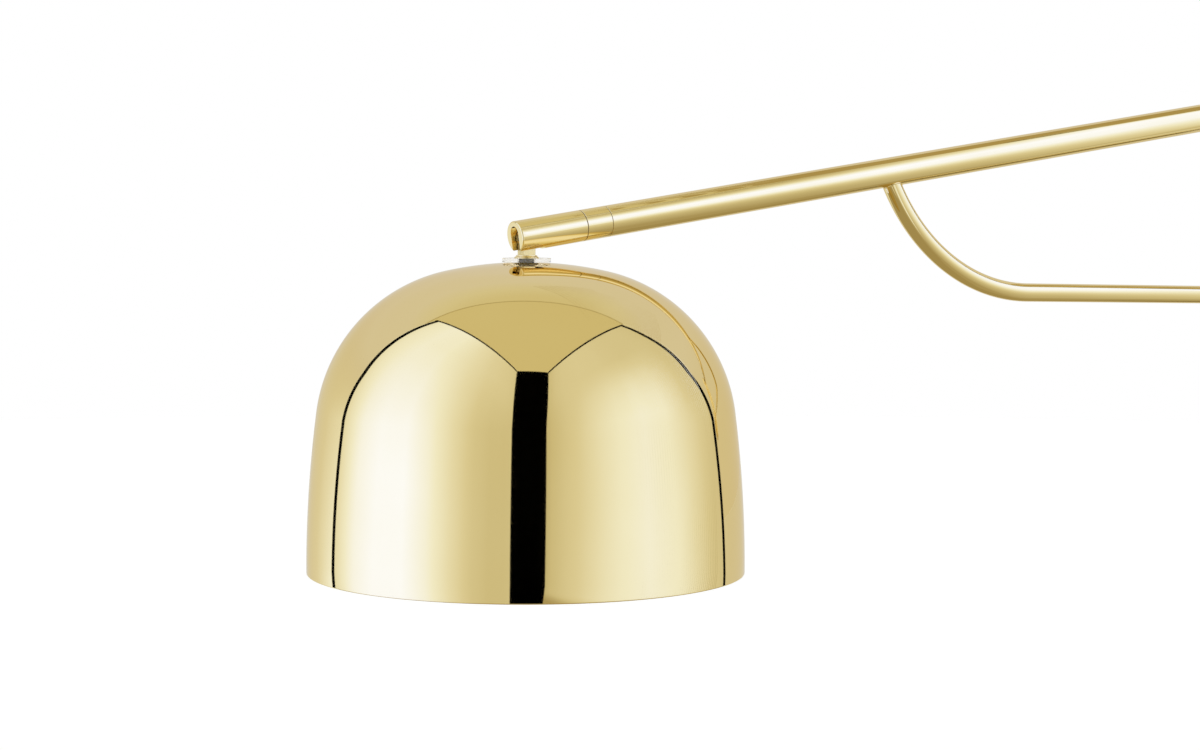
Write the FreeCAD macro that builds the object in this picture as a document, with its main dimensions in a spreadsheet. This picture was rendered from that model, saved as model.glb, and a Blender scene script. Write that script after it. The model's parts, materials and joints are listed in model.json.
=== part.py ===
import FreeCAD, Part
import math
import os

import Sketcher
from FreeCAD import Placement, Rotation, Vector

# Wall lamp with a domed brass shade on a long swinging arm.
# Millimetres. The wall is the plane Y = 0 and the lamp stands out of it towards -Y, with +Z up.
# The origin is the centre of the wall plate's back face.

SIZES = {
    # shade: a spun dome whose outline is a crown, a shoulder and a wall arc, each tangent to the next
    "crown_radius": 200.0,
    "crown_turn": 12.5,
    "shoulder_radius": 88.5,
    "shoulder_turn": 70.0,
    "wall_radius": 656.0,
    "wall_turn": 7.5,
    "shade_sheet": 1.2,
    "shade_hole": 9.1,
    # arm tube, rising from the hinge pin to the post
    "arm_dia": 17.0,
    "arm_bore": 14.0,
    "arm_slope": 8.25,
    "arm_length": 957.0,
    "arm_height": 96.0,
    # brace rod, a straight run that bends up into the arm
    "brace_dia": 11.0,
    "brace_height": 93.5,
    "brace_fall": 1.5,
    "brace_run": 600.0,
    "brace_bend": 120.0,
    "brace_turn": 64.6,
    # swivel between the arm and the fork, and the hinge in the fork
    "ring_far": 49.8,
    "ring_near": 33.9,
    "seam_gap": 0.15,
    "seam_edge": 0.25,
    "spindle_dia": 10.0,
    "spindle_bore": 5.0,
    "spindle_plug": 18.0,
    "spindle_reach": 21.0,
    "groove_dia": 7.6,
    "groove_width": 3.4,
    "groove_place": 30.0,
    "fork_end": 7.0,
    "fork_edge": 0.7,
    "slot_width": 8.0,
    "slot_back": 8.6,
    "slot_top": 5.7,
    "pin_drop": 1.5,
    "pin_dia": 4.0,
    "pin_blind": 6.4,
    "pin_head_dia": 6.8,
    "pin_head": 2.0,
    "hex_key": 3.0,
    "hex_key_depth": 1.3,
    "pin_inset": 0.5,
    "running_gap": 0.05,
    "friction_washer": 0.4,
    "friction_washer_dia": 6.2,
    "grub_dia": 3.0,
    "screw_inset": 0.3,
    "bore_step": 0.5,
    "end_cover": 1.0,
    "lead_gap": 3.0,
    "cut_over": 1.0,
    # knuckle that hangs in the fork, and what it clamps to the shade
    "knuckle_thick": 7.0,
    "knuckle_width": 7.0,
    "eye_dia": 9.0,
    "flange_dia": 13.0,
    "flange_edge": 0.6,
    "flange_thick": 1.5,
    "pin_to_washer": 10.7,
    "clear_washer": 2.2,
    "clear_washer_dia": 26.0,
    "clear_washer_edge": 0.3,
    "nipple_dia": 8.8,
    "nipple_bore": 6.0,
    "nipple_length": 24.0,
    "nipple_step": 2.0,
    "spigot_dia": 5.0,
    "spigot_length": 4.0,
    "spigot_gap": 0.2,
    "wire_bore": 3.0,
    "clamp_washer": 1.5,
    "clamp_washer_dia": 24.0,
    "clamp_washer_fall": 0.37,
    "nut_across": 14.0,
    "nut_thick": 3.0,
    # lampholder and bulb
    "holder_dia": 39.0,
    "holder_length": 48.0,
    "holder_wall": 1.5,
    "holder_neck_dia": 22.0,
    "entry_length": 6.0,
    "skirt_length": 5.0,
    "skirt_edge": 1.5,
    "skirt_gap": 0.8,
    "insert_dia": 35.8,
    "insert_length": 24.0,
    "insert_floor": 4.0,
    "insert_hole_dia": 3.2,
    "socket_dia": 27.6,
    "bulb_cap_dia": 26.4,
    "bulb_cap_length": 26.0,
    "bulb_cap_taper": 3.5,
    "bulb_contact_dia": 9.0,
    "bulb_contact_depth": 5.0,
    "bulb_dia": 60.0,
    "bulb_length": 104.0,
    "bulb_sweep": 40.0,
    "bulb_skin": 1.0,
    "bulb_neck_step": 0.6,
    # wall plate and housing
    "plate_width": 38.0,
    "plate_height": 250.0,
    "plate_thick": 3.0,
    "wall_slot_pitch": 160.0,
    "wall_slot_width": 5.5,
    "wall_slot_length": 12.0,
    "inlet_dia": 16.0,
    "inlet_drop": 45.0,
    "ear_thick": 1.5,
    "ear_height": 14.0,
    "ear_reach": 13.0,
    "housing_width": 46.0,
    "housing_height": 286.0,
    "housing_depth": 20.0,
    "housing_wall": 2.5,
    "housing_edge": 4.0,
    "side_screw_dia": 4.0,
    "side_screw_depth": 9.0,
    "side_screw_length": 6.5,
    "side_screw_key": 2.0,
    "side_screw_key_depth": 1.5,
    "hole_gap": 0.2,
    # lugs, bushes and the swinging post
    "post_reach": 45.0,
    "post_dia": 17.0,
    "post_bore": 15.0,
    "post_half": 110.0,
    "shoulder_ring": 2.5,
    "lug_height": 121.0,
    "boss_dia": 22.0,
    "boss_length": 14.0,
    "boss_edge": 1.2,
    "lug_stud_dia": 10.0,
    "lug_stud": 12.0,
    "lug_flange_dia": 20.0,
    "lug_flange": 2.5,
    "lug_flange_edge": 1.5,
    "lug_shank_dia": 11.0,
    "lug_wire_dia": 6.0,
    "lug_nut": 4.0,
    "lug_nut_across": 15.0,
    "post_window_dia": 9.0,
    "bush_dia": 14.0,
    "bush_flange_dia": 18.0,
    "bush_flange": 1.2,
    "journal_dia": 10.0,
    "journal_waist_dia": 7.2,
    "journal_waist": 6.0,
    "journal_bore": 4.4,
    "pivot_plug": 10.0,
    "journal_end": 24.0,
    "cap_dia": 16.0,
    "cap_gap": 0.3,
    "cap_side": 5.0,
    "cap_rise": 6.0,
    # switch and terminal block
    "switch_drop": 70.0,
    "switch_middle": 9.0,
    "switch_box_tall": 14.0,
    "switch_box_across": 11.0,
    "switch_box_depth": 9.0,
    "switch_well": 5.0,
    "collar_dia": 10.0,
    "collar_out": 3.4,
    "collar_bore": 8.0,
    "switch_nut_dia": 14.0,
    "switch_nut": 2.2,
    "switch_nut_edge": 0.8,
    "button_dia": 7.8,
    "button_out": 4.6,
    "button_travel": 2.5,
    "button_rise": 1.2,
    "block_width": 27.0,
    "block_height": 15.0,
    "block_depth": 9.0,
    "block_place": 52.0,
    "terminal_bore": 3.4,
    "terminal_pitch": 8.4,
    "barrel_dia": 5.6,
    "barrel_out": 2.0,
}

doc = FreeCAD.newDocument("wall_lamp")
sheet = doc.addObject("Spreadsheet::Sheet", "dims")


class Size:
    """A measure with its value and its formula over the sheet's cells."""

    def __init__(self, value, formula):
        self.value = value
        self.formula = formula

    def __add__(self, other):
        other = as_size(other)
        return Size(self.value + other.value, f"({self.formula} + {other.formula})")

    def __sub__(self, other):
        other = as_size(other)
        return Size(self.value - other.value, f"({self.formula} - {other.formula})")

    def __mul__(self, other):
        other = as_size(other)
        return Size(self.value * other.value, f"({self.formula} * {other.formula})")

    def __truediv__(self, other):
        other = as_size(other)
        return Size(self.value / other.value, f"({self.formula} / {other.formula})")

    def __radd__(self, other):
        return as_size(other) + self

    def __rsub__(self, other):
        return as_size(other) - self

    def __rmul__(self, other):
        return as_size(other) * self

    def __neg__(self):
        return as_size(0.0) - self


def as_size(number):
    if isinstance(number, Size):
        return number
    return Size(float(number), repr(float(number)))


def sine(angle):
    return Size(math.sin(math.radians(angle.value)), f"sin({angle.formula})")


def cosine(angle):
    return Size(math.cos(math.radians(angle.value)), f"cos({angle.formula})")


def root(size):
    return Size(math.sqrt(size.value), f"sqrt({size.formula})")


class Measures:
    """Every driving size as an attribute, backed by its cell in the sheet."""

    def __init__(self, sizes):
        for row, (name, value) in enumerate(sizes.items(), start=1):
            sheet.set(f"A{row}", name)
            sheet.set(f"B{row}", str(value))
            sheet.setAlias(f"B{row}", name)
            setattr(self, name, Size(value, f"dims.{name}"))


def bind(target, prop, size):
    """Sets a property and ties it to the formula of its size."""
    size = as_size(size)
    setattr(target, prop, size.value)
    if "dims." in size.formula:
        target.setExpression(prop, size.formula)


def new_body(label):
    body = doc.addObject("PartDesign::Body", label)
    body.Label = label
    return body


def place(thing, x, y, z, turn=0.0, about=(1, 0, 0)):
    """Puts an object at x, y, z, turned by an angle about an axis."""
    turn = as_size(turn)
    spot = [as_size(x), as_size(y), as_size(z)]
    thing.Placement = Placement(Vector(*[s.value for s in spot]), Rotation(Vector(*about), turn.value))
    for axis, size in zip("xyz", spot):
        if "dims." in size.formula:
            thing.setExpression(f"Placement.Base.{axis}", size.formula)
    if "dims." in turn.formula:
        thing.setExpression("Placement.Rotation.Angle", turn.formula)
    return thing


def sketch_on(body, role, lift=0.0):
    """A sketch on one of the body's own origin planes, lifted along the plane's normal."""
    plane = [f for f in body.Origin.OriginFeatures if f.Role == role][0]
    sketch = body.newObject("Sketcher::SketchObject", f"{body.Label}_sketch")
    sketch.AttachmentSupport = [(plane, "")]
    sketch.MapMode = "FlatFace"
    lift = as_size(lift)
    sketch.AttachmentOffset = Placement(Vector(0, 0, lift.value), Rotation())
    if "dims." in lift.formula:
        sketch.setExpression("AttachmentOffset.Base.z", lift.formula)
    return sketch


def fix(sketch, kind, references, size):
    """Adds a dimension to a sketch and ties it to its formula."""
    size = as_size(size)
    number = sketch.addConstraint(Sketcher.Constraint(kind, *references, size.value))
    if "dims." in size.formula:
        sketch.setExpression(f"Constraints[{number}]", size.formula)


def fix_point(sketch, edge, end, x, y):
    fix(sketch, "DistanceX", (-1, 1, edge, end), x)
    fix(sketch, "DistanceY", (-1, 1, edge, end), y)


def outline(sketch, corners, arcs=None, closed=True):
    """Joins the corners in order. arcs maps an edge's number to (centre x, centre y, "ccw" or "cw")."""
    arcs = arcs or {}
    spots = [Vector(as_size(x).value, as_size(y).value, 0) for x, y in corners]
    count = len(corners) if closed else len(corners) - 1
    edges = []
    for number in range(count):
        here = spots[number]
        there = spots[(number + 1) % len(spots)]
        if number not in arcs:
            edge = sketch.addGeometry(Part.LineSegment(here, there), False)
            edges.append((edge, 1, 2))
            continue
        x, y, way = arcs[number]
        centre = Vector(as_size(x).value, as_size(y).value, 0)
        first, last = (here, there) if way == "ccw" else (there, here)
        start = math.atan2(first.y - centre.y, first.x - centre.x)
        stop = math.atan2(last.y - centre.y, last.x - centre.x)
        if stop < start:
            stop += 2 * math.pi
        circle = Part.Circle(centre, Vector(0, 0, 1), (here - centre).Length)
        edge = sketch.addGeometry(Part.ArcOfCircle(circle, start, stop), False)
        edges.append((edge, 1, 2) if way == "ccw" else (edge, 2, 1))
    for number in range(count if closed else count - 1):
        edge, _, end = edges[number]
        following, begin, _ = edges[(number + 1) % count]
        sketch.addConstraint(Sketcher.Constraint("Coincident", edge, end, following, begin))
    for number in range(count):
        edge, begin, end = edges[number]
        fix_point(sketch, edge, begin, *corners[number])
        if number in arcs:
            x, y, _ = arcs[number]
            chord = spots[(number + 1) % len(spots)] - spots[number]
            if abs(chord.y) > abs(chord.x):
                fix(sketch, "DistanceX", (-1, 1, edge, 3), x)
            else:
                fix(sketch, "DistanceY", (-1, 1, edge, 3), y)
    if not closed:
        edge, _, end = edges[-1]
        fix_point(sketch, edge, end, *corners[-1])
    return sketch


def circle(sketch, x, y, radius):
    spot = Vector(as_size(x).value, as_size(y).value, 0)
    edge = sketch.addGeometry(Part.Circle(spot, Vector(0, 0, 1), as_size(radius).value), False)
    fix(sketch, "Radius", (edge,), radius)
    fix_point(sketch, edge, 3, x, y)
    return sketch


def rectangle(sketch, left, low, right, high):
    return outline(sketch, [(left, low), (right, low), (right, high), (left, high)])


def stadium(sketch, width, height, middle=0.0):
    """An upright outline with half-round ends, centred on height `middle`."""
    side = width / 2
    straight = (height - width) / 2
    middle = as_size(middle)
    corners = [
        (side, middle - straight),
        (side, middle + straight),
        (-side, middle + straight),
        (-side, middle - straight),
    ]
    return outline(sketch, corners, {1: (0, middle + straight, "ccw"), 3: (0, middle - straight, "ccw")})


def hexagon(sketch, across, x=0.0, y=0.0):
    """A hexagon of a given size across its flats, centred on x, y."""
    sides = 6
    corner = across / (2 * math.cos(math.pi / sides))
    corners = []
    for step in range(sides):
        angle = 2 * math.pi * step / sides
        corners.append((as_size(x) + corner * math.cos(angle), as_size(y) + corner * math.sin(angle)))
    return outline(sketch, corners)


def feature(body, kind, sketch, **settings):
    made = body.newObject(f"PartDesign::{kind}", f"{body.Label}_{kind}")
    made.Profile = sketch
    for prop, value in settings.items():
        if isinstance(value, Size):
            bind(made, prop, value)
        else:
            setattr(made, prop, value)
    return made


def pad(body, sketch, length, **settings):
    return feature(body, "Pad", sketch, Length=as_size(length), **settings)


def cut(body, sketch, length=None, **settings):
    """A pocket that must take material away; without a length it goes right through, both ways."""
    doc.recompute()
    before = body.Shape.Volume
    if length is None:
        made = feature(body, "Pocket", sketch, Type="ThroughAll", Midplane=True)
    else:
        made = feature(body, "Pocket", sketch, Length=as_size(length), **settings)
    doc.recompute()
    if body.Shape.Volume > before - 1e-6:
        raise RuntimeError(f"a pocket of {body.Label} cuts nothing")
    return made


def turned(label, corners, arcs=None):
    """A body turned about its own Z axis from an outline of (radius, height) corners."""
    body = new_body(label)
    sketch = outline(sketch_on(body, "XZ_Plane"), corners, arcs)
    feature(body, "Revolution", sketch, ReferenceAxis=(sketch, ["V_Axis"]), Angle=360.0)
    return body


def round_edges(body, kind, size, wanted):
    """Fillets or chamfers the edges that the test accepts."""
    doc.recompute()
    base = body.Tip
    names = [f"Edge{n}" for n, edge in enumerate(base.Shape.Edges, start=1) if wanted(edge)]
    made = body.newObject(f"PartDesign::{kind}", f"{body.Label}_{kind}")
    made.Base = (base, names)
    bind(made, "Radius" if kind == "Fillet" else "Size", size)
    return made


def level_edge(axis, height):
    """Accepts edges that lie wholly at one height along an axis."""
    def test(edge):
        box = edge.BoundBox
        low = getattr(box, f"{axis}Min")
        high = getattr(box, f"{axis}Max")
        return abs(low - height) < 1e-4 and abs(high - height) < 1e-4
    return test


d = Measures(SIZES)
doc.recompute()
made_parts = []


def keep(thing, label=None):
    """Marks an object as one sub-part of the lamp."""
    if label:
        thing.Label = label
    made_parts.append(thing)
    return thing


# The arm's own frame: its axis runs from the post's axis down to the hinge, along the body's Z.
arm_turn = d.arm_slope + 90.0
post_y = -d.post_reach
arm_cos = cosine(d.arm_slope)
arm_sin = sine(d.arm_slope)
head_y = post_y - d.arm_length * arm_cos
head_z = d.arm_height - d.arm_length * arm_sin
pin_y = head_y + d.pin_drop * arm_sin
pin_z = head_z - d.pin_drop * arm_cos
arm_radius = d.arm_dia / 2


def on_arm(thing):
    """Origin where the arm's axis meets the post's axis."""
    return place(thing, 0.0, post_y, d.arm_height, arm_turn)


def on_head(thing):
    """Origin on the arm's axis, level with the hinge pin; Z points out of the arm's end."""
    return place(thing, 0.0, head_y, head_z, arm_turn)


def on_pin(thing):
    """Origin on the hinge pin's axis, with Z up."""
    return place(thing, 0.0, pin_y, pin_z)


# Wall side

def make_wall_plate():
    body = new_body("wall_plate")
    pad(body, stadium(sketch_on(body, "XZ_Plane"), d.plate_width, d.plate_height), d.plate_thick)
    ears = sketch_on(body, "XZ_Plane")
    edge = d.plate_width / 2
    half = d.ear_height / 2
    rectangle(ears, edge - d.ear_thick, -half, edge, half)
    rectangle(ears, -edge, -half, d.ear_thick - edge, half)
    pad(body, ears, d.ear_reach)
    holes = sketch_on(body, "XZ_Plane")
    for way in (1, -1):
        stadium(holes, d.wall_slot_width, d.wall_slot_length, way * d.wall_slot_pitch / 2)
    circle(holes, 0, -d.inlet_drop, d.inlet_dia / 2)
    cut(body, holes)
    cut(body, circle(sketch_on(body, "YZ_Plane"), -d.side_screw_depth, 0, d.side_screw_dia / 2))
    return keep(body)


def make_wall_housing():
    body = new_body("wall_housing")
    pad(body, stadium(sketch_on(body, "XZ_Plane"), d.housing_width, d.housing_height), d.housing_depth)
    round_edges(body, "Fillet", d.housing_edge, level_edge("Y", -d.housing_depth.value))
    inside = stadium(sketch_on(body, "XZ_Plane"), d.housing_width - 2 * d.housing_wall,
                     d.housing_height - 2 * d.housing_wall)
    cut(body, inside, d.housing_depth - d.housing_wall, Reversed=True)
    stud_holes = sketch_on(body, "XZ_Plane")
    for way in (1, -1):
        circle(stud_holes, 0, way * d.lug_height, d.lug_stud_dia / 2 + d.hole_gap)
    cut(body, stud_holes)
    screw_hole = d.side_screw_dia / 2 + d.hole_gap
    cut(body, circle(sketch_on(body, "YZ_Plane"), -d.side_screw_depth, 0, screw_hole))
    collar_hole = d.collar_dia / 2 + d.hole_gap
    switch_hole = circle(sketch_on(body, "YZ_Plane"), -d.switch_middle, -d.switch_drop, collar_hole)
    cut(body, switch_hole, d.housing_width, Reversed=True)
    return keep(body)


def make_housing_screws():
    """Two grub screws through the housing's sides into the wall plate's ears."""
    body = new_body("housing_screws")
    outer = d.housing_width / 2 - d.screw_inset
    for way in (1, -1):
        lift = way * outer
        screw = circle(sketch_on(body, "YZ_Plane", lift), -d.side_screw_depth, 0, d.side_screw_dia / 2)
        pad(body, screw, d.side_screw_length, Reversed=way > 0)
        socket = hexagon(sketch_on(body, "YZ_Plane", lift), d.side_screw_key, -d.side_screw_depth)
        cut(body, socket, d.side_screw_key_depth, Reversed=way < 0)
    return keep(body)


def make_lug(label, height):
    """A turned arm that ends in a boss for the post's journal; its Z points away from the wall."""
    stud = d.lug_stud_dia / 2
    flange = d.lug_flange_dia / 2
    shank = d.lug_shank_dia / 2
    reach = d.post_reach - d.housing_depth
    sweep = flange - shank - d.lug_flange_edge
    corners = [
        (0, -d.lug_stud),
        (stud, -d.lug_stud),
        (stud, 0),
        (flange, 0),
        (flange, d.lug_flange),
        (shank + sweep, d.lug_flange),
        (shank, d.lug_flange + sweep),
        (shank, reach),
        (0, reach),
    ]
    body = turned(label, corners, {5: (shank + sweep, d.lug_flange + sweep, "cw")})
    pad(body, circle(sketch_on(body, "XZ_Plane"), 0, reach, d.boss_dia / 2), d.boss_length, Midplane=True)
    half = d.boss_length.value / 2
    ends = (level_edge("Y", half), level_edge("Y", -half))
    round_edges(body, "Fillet", d.boss_edge, lambda edge: any(test(edge) for test in ends))
    cut(body, circle(sketch_on(body, "XZ_Plane"), 0, reach, d.bush_dia / 2))
    cut(body, circle(sketch_on(body, "XY_Plane"), 0, 0, d.lug_wire_dia / 2), 2 * reach, Midplane=True)
    return keep(place(body, 0.0, -d.housing_depth, height, 90.0))


def make_lug_nuts():
    body = new_body("lug_nuts")
    inner_face = d.housing_depth - d.housing_wall
    sketch = sketch_on(body, "XZ_Plane", inner_face - d.lug_nut)
    for way in (1, -1):
        hexagon(sketch, d.lug_nut_across, 0.0, way * d.lug_height)
        circle(sketch, 0, way * d.lug_height, d.lug_stud_dia / 2)
    pad(body, sketch, d.lug_nut)
    return keep(body)


def make_bush(label, face, turn):
    """A flanged bush; its flange takes the thrust between the boss and the post."""
    bore = d.journal_dia / 2 + d.running_gap
    flange = d.bush_flange_dia / 2
    outer = d.bush_dia / 2
    corners = [
        (bore, -d.bush_flange),
        (flange, -d.bush_flange),
        (flange, 0),
        (outer, 0),
        (outer, d.boss_length),
        (bore, d.boss_length),
    ]
    body = turned(label, corners)
    window = circle(sketch_on(body, "XZ_Plane"), 0, d.boss_length / 2, d.lug_wire_dia / 2)
    toward_wall = turn == 0.0
    cut(body, window, outer + d.cut_over, Reversed=not toward_wall)
    return keep(place(body, 0.0, post_y, face, turn))


def make_pivot(label, face, turn):
    """A plug in the post's end with a journal, waisted where the lead wraps round it."""
    bore = d.journal_bore / 2
    plug = d.post_bore / 2
    ring = d.post_dia / 2
    journal = d.journal_dia / 2
    waist = d.journal_waist_dia / 2
    boss_middle = d.lug_height - d.post_half
    low = boss_middle - d.journal_waist / 2
    high = boss_middle + d.journal_waist / 2
    corners = [
        (bore, -d.pivot_plug),
        (plug, -d.pivot_plug),
        (plug, 0),
        (ring, 0),
        (ring, d.shoulder_ring),
        (journal, d.shoulder_ring),
        (journal, low),
        (waist, low),
        (waist, high),
        (journal, high),
        (journal, d.journal_end),
        (0, d.journal_end),
        (0, high),
        (bore, high),
    ]
    body = turned(label, corners)
    cut(body, circle(sketch_on(body, "XZ_Plane"), 0, boss_middle, bore))
    return keep(place(body, 0.0, post_y, face, turn))


def make_cap(label, face, turn):
    """A domed cap nut on the journal's end."""
    radius = d.cap_dia / 2
    journal = d.journal_dia / 2
    hold = d.post_half + d.journal_end - d.lug_height - d.boss_length / 2
    dome = (radius * radius + d.cap_rise * d.cap_rise) / (2 * d.cap_rise)
    top = d.cap_side + d.cap_rise
    corners = [(journal, 0), (radius, 0), (radius, d.cap_side), (0, top), (0, hold), (journal, hold)]
    body = turned(label, corners, {2: (0, top - dome, "ccw")})
    return keep(place(body, 0.0, post_y, face, turn))


def make_post():
    bore = d.post_bore / 2
    outer = d.post_dia / 2
    body = turned("post", [(bore, -d.post_half), (outer, -d.post_half), (outer, d.post_half), (bore, d.post_half)])
    window = circle(sketch_on(body, "XZ_Plane"), 0, d.arm_height, d.post_window_dia / 2)
    cut(body, window, outer + d.cut_over, Reversed=True)
    return keep(place(body, 0.0, post_y, 0.0))


def on_switch(thing):
    """Origin on the housing's +X side; the thing's Z points out of that side."""
    return place(thing, d.housing_width / 2, -d.switch_middle, -d.switch_drop, 90.0, (0, 1, 0))


def make_switch_body():
    """The switch's box behind the housing's side, with a collar through it."""
    body = new_body("switch_body")
    tall = d.switch_box_tall / 2
    across = d.switch_box_across / 2
    inner_face = -d.housing_wall
    box = sketch_on(body, "XY_Plane", inner_face - d.switch_box_depth)
    pad(body, rectangle(box, -tall, -across, tall, across), d.switch_box_depth)
    collar = circle(sketch_on(body, "XY_Plane", inner_face), 0, 0, d.collar_dia / 2)
    pad(body, collar, d.housing_wall + d.collar_out)
    well = circle(sketch_on(body, "XY_Plane", inner_face - d.switch_well), 0, 0, d.collar_bore / 2)
    cut(body, well, d.switch_well + d.housing_wall + d.collar_out + d.cut_over, Reversed=True)
    return keep(on_switch(body))


def make_switch_nut():
    outer = d.switch_nut_dia / 2
    bore = d.collar_dia / 2
    top = d.switch_nut
    edge = d.switch_nut_edge
    corners = [(bore, 0), (outer, 0), (outer, top - edge), (outer - edge, top), (bore, top)]
    return keep(on_switch(turned("switch_nut", corners, {2: (outer - edge, top - edge, "ccw")})))


def make_switch_button():
    """Domed push button."""
    radius = d.button_dia / 2
    dome = (radius * radius + d.button_rise * d.button_rise) / (2 * d.button_rise)
    top = d.collar_out + d.button_out
    corners = [(0, 0), (radius, 0), (radius, top - d.button_rise), (0, top)]
    return keep(on_switch(turned("switch_button", corners, {2: (0, top - dome, "ccw")})))


def make_terminal_block():
    """Three-way block on the wall plate, with a wire hole and a screw barrel for each way."""
    body = new_body("terminal_block")
    half = d.block_width / 2
    low = d.block_place - d.block_height / 2
    high = d.block_place + d.block_height / 2
    pad(body, rectangle(sketch_on(body, "XZ_Plane", d.plate_thick), -half, low, half, high), d.block_depth)
    barrels = sketch_on(body, "XZ_Plane", d.plate_thick)
    wires = sketch_on(body, "XY_Plane")
    screws = sketch_on(body, "XZ_Plane", d.plate_thick)
    for way in (-1, 0, 1):
        x = way * d.terminal_pitch
        circle(barrels, x, d.block_place, d.barrel_dia / 2)
        circle(wires, x, -d.plate_thick - d.block_depth / 2, d.terminal_bore / 2)
        circle(screws, x, d.block_place, d.terminal_bore / 2)
    pad(body, barrels, d.block_depth + d.barrel_out)
    cut(body, wires)
    cut(body, screws)
    return keep(body)


# Arm side

def cylinder(label, radius, height):
    made = doc.addObject("Part::Cylinder", label)
    bind(made, "Radius", radius)
    bind(made, "Height", height)
    return made


def less(label, base, tool):
    made = doc.addObject("Part::Cut", label)
    made.Base = base
    made.Tool = tool
    return made


def make_arm_tube():
    """The main tube, with its wall end coped round the post."""
    bore = d.arm_bore / 2
    length = d.arm_length - d.ring_far
    corners = [
        (bore, 0),
        (arm_radius, 0),
        (arm_radius, length - d.seam_edge),
        (arm_radius - d.seam_edge, length),
        (bore, length),
    ]
    blank = on_arm(turned("arm_blank", corners))
    post_space = place(cylinder("post_space", d.post_dia / 2, 2 * d.post_half), 0.0, post_y, -d.post_half)
    return keep(less("arm_tube", blank, post_space))


def make_brace():
    """A straight run from the post, then one bend up to the arm's underside, coped at both ends."""
    blank = new_body("brace_blank")
    path = sketch_on(blank, "YZ_Plane")
    rise = d.brace_bend * (1.0 - cosine(d.brace_turn))
    reach = d.brace_run + d.brace_bend * sine(d.brace_turn)
    outline(path, [(0, 0), (0, d.brace_run), (rise, reach)], {1: (d.brace_bend, d.brace_run, "cw")}, closed=False)
    section = circle(sketch_on(blank, "XY_Plane"), 0, 0, d.brace_dia / 2)
    pipe = feature(blank, "AdditivePipe", section)
    pipe.Spine = path
    place(blank, 0.0, post_y, -d.brace_height, 90.0 - d.brace_fall)
    arm_space = on_arm(cylinder("arm_space", arm_radius, d.arm_length))
    brace_post_space = place(cylinder("brace_post_space", d.post_dia / 2, 2 * d.post_half),
                             0.0, post_y, -d.post_half)
    return keep(less("brace", less("brace_coped", blank, arm_space), brace_post_space))


def make_arm_lead():
    """The flex inside the arm, from the post to the spindle's end."""
    lead = cylinder("arm_lead", d.spindle_bore / 2, d.arm_length - d.spindle_reach - d.lead_gap)
    return keep(on_arm(lead))


def make_spindle():
    """Plug in the arm's end with a journal that carries the ring and the fork."""
    bore = d.spindle_bore / 2
    plug = d.arm_bore / 2
    journal = d.spindle_dia / 2
    groove = d.groove_dia / 2
    corners = [
        (bore, -d.ring_far - d.spindle_plug),
        (plug, -d.ring_far - d.spindle_plug),
        (plug, -d.ring_far),
        (journal, -d.ring_far),
        (journal, -d.groove_place - d.groove_width / 2),
        (groove, -d.groove_place - d.groove_width / 2),
        (groove, d.groove_width / 2 - d.groove_place),
        (journal, d.groove_width / 2 - d.groove_place),
        (journal, -d.spindle_reach),
        (bore, -d.spindle_reach),
    ]
    return keep(on_head(turned("swivel_spindle", corners)))


def make_ring():
    """The collar that shows between the two seams."""
    bore = d.spindle_dia / 2
    far = -d.ring_far
    near = -d.ring_near - d.seam_gap
    edge = d.seam_edge
    corners = [
        (bore, far),
        (arm_radius - edge, far),
        (arm_radius, far + edge),
        (arm_radius, near - edge),
        (arm_radius - edge, near),
        (bore, near),
    ]
    return keep(on_head(turned("swivel_ring", corners)))


# Fork and hinge

pin_seat = arm_radius - d.pin_inset - d.pin_head


def make_fork():
    """Solid end piece: bored for the spindle, slotted from below and from its end for the knuckle."""
    journal = d.spindle_dia / 2 + d.running_gap
    wire = d.spindle_bore / 2
    edge = d.seam_edge
    bore_end = d.bore_step - d.spindle_reach
    cover = d.fork_end - d.end_cover
    corners = [
        (journal, -d.ring_near),
        (arm_radius - edge, -d.ring_near),
        (arm_radius, edge - d.ring_near),
        (arm_radius, d.fork_end - d.fork_edge),
        (arm_radius - d.fork_edge, d.fork_end),
        (0, d.fork_end),
        (0, cover),
        (wire, cover),
        (wire, bore_end),
        (journal, bore_end),
    ]
    centre = (arm_radius - d.fork_edge, d.fork_end - d.fork_edge, "ccw")
    body = turned("fork_end", corners, {3: centre})
    side = d.slot_width / 2
    spring = d.slot_top - side
    slot = sketch_on(body, "XY_Plane", -d.slot_back)
    below = -arm_radius - d.cut_over
    outline(slot, [(-side, below), (side, below), (side, spring), (-side, spring)], {2: (0, spring, "ccw")})
    cut(body, slot, d.slot_back + d.fork_end + d.cut_over, Reversed=True)
    pin_blind = circle(sketch_on(body, "YZ_Plane"), -d.pin_drop, 0, d.pin_dia / 2)
    cut(body, pin_blind, d.pin_blind, Reversed=True)
    pin_open = circle(sketch_on(body, "YZ_Plane"), -d.pin_drop, 0, d.pin_dia / 2)
    cut(body, pin_open, arm_radius + d.cut_over)
    recess = circle(sketch_on(body, "YZ_Plane", -pin_seat), -d.pin_drop, 0, d.pin_head_dia / 2)
    cut(body, recess, arm_radius)
    grub = circle(sketch_on(body, "YZ_Plane"), 0, -d.groove_place, d.grub_dia / 2)
    cut(body, grub, arm_radius + d.cut_over)
    return keep(on_head(body))


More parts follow.
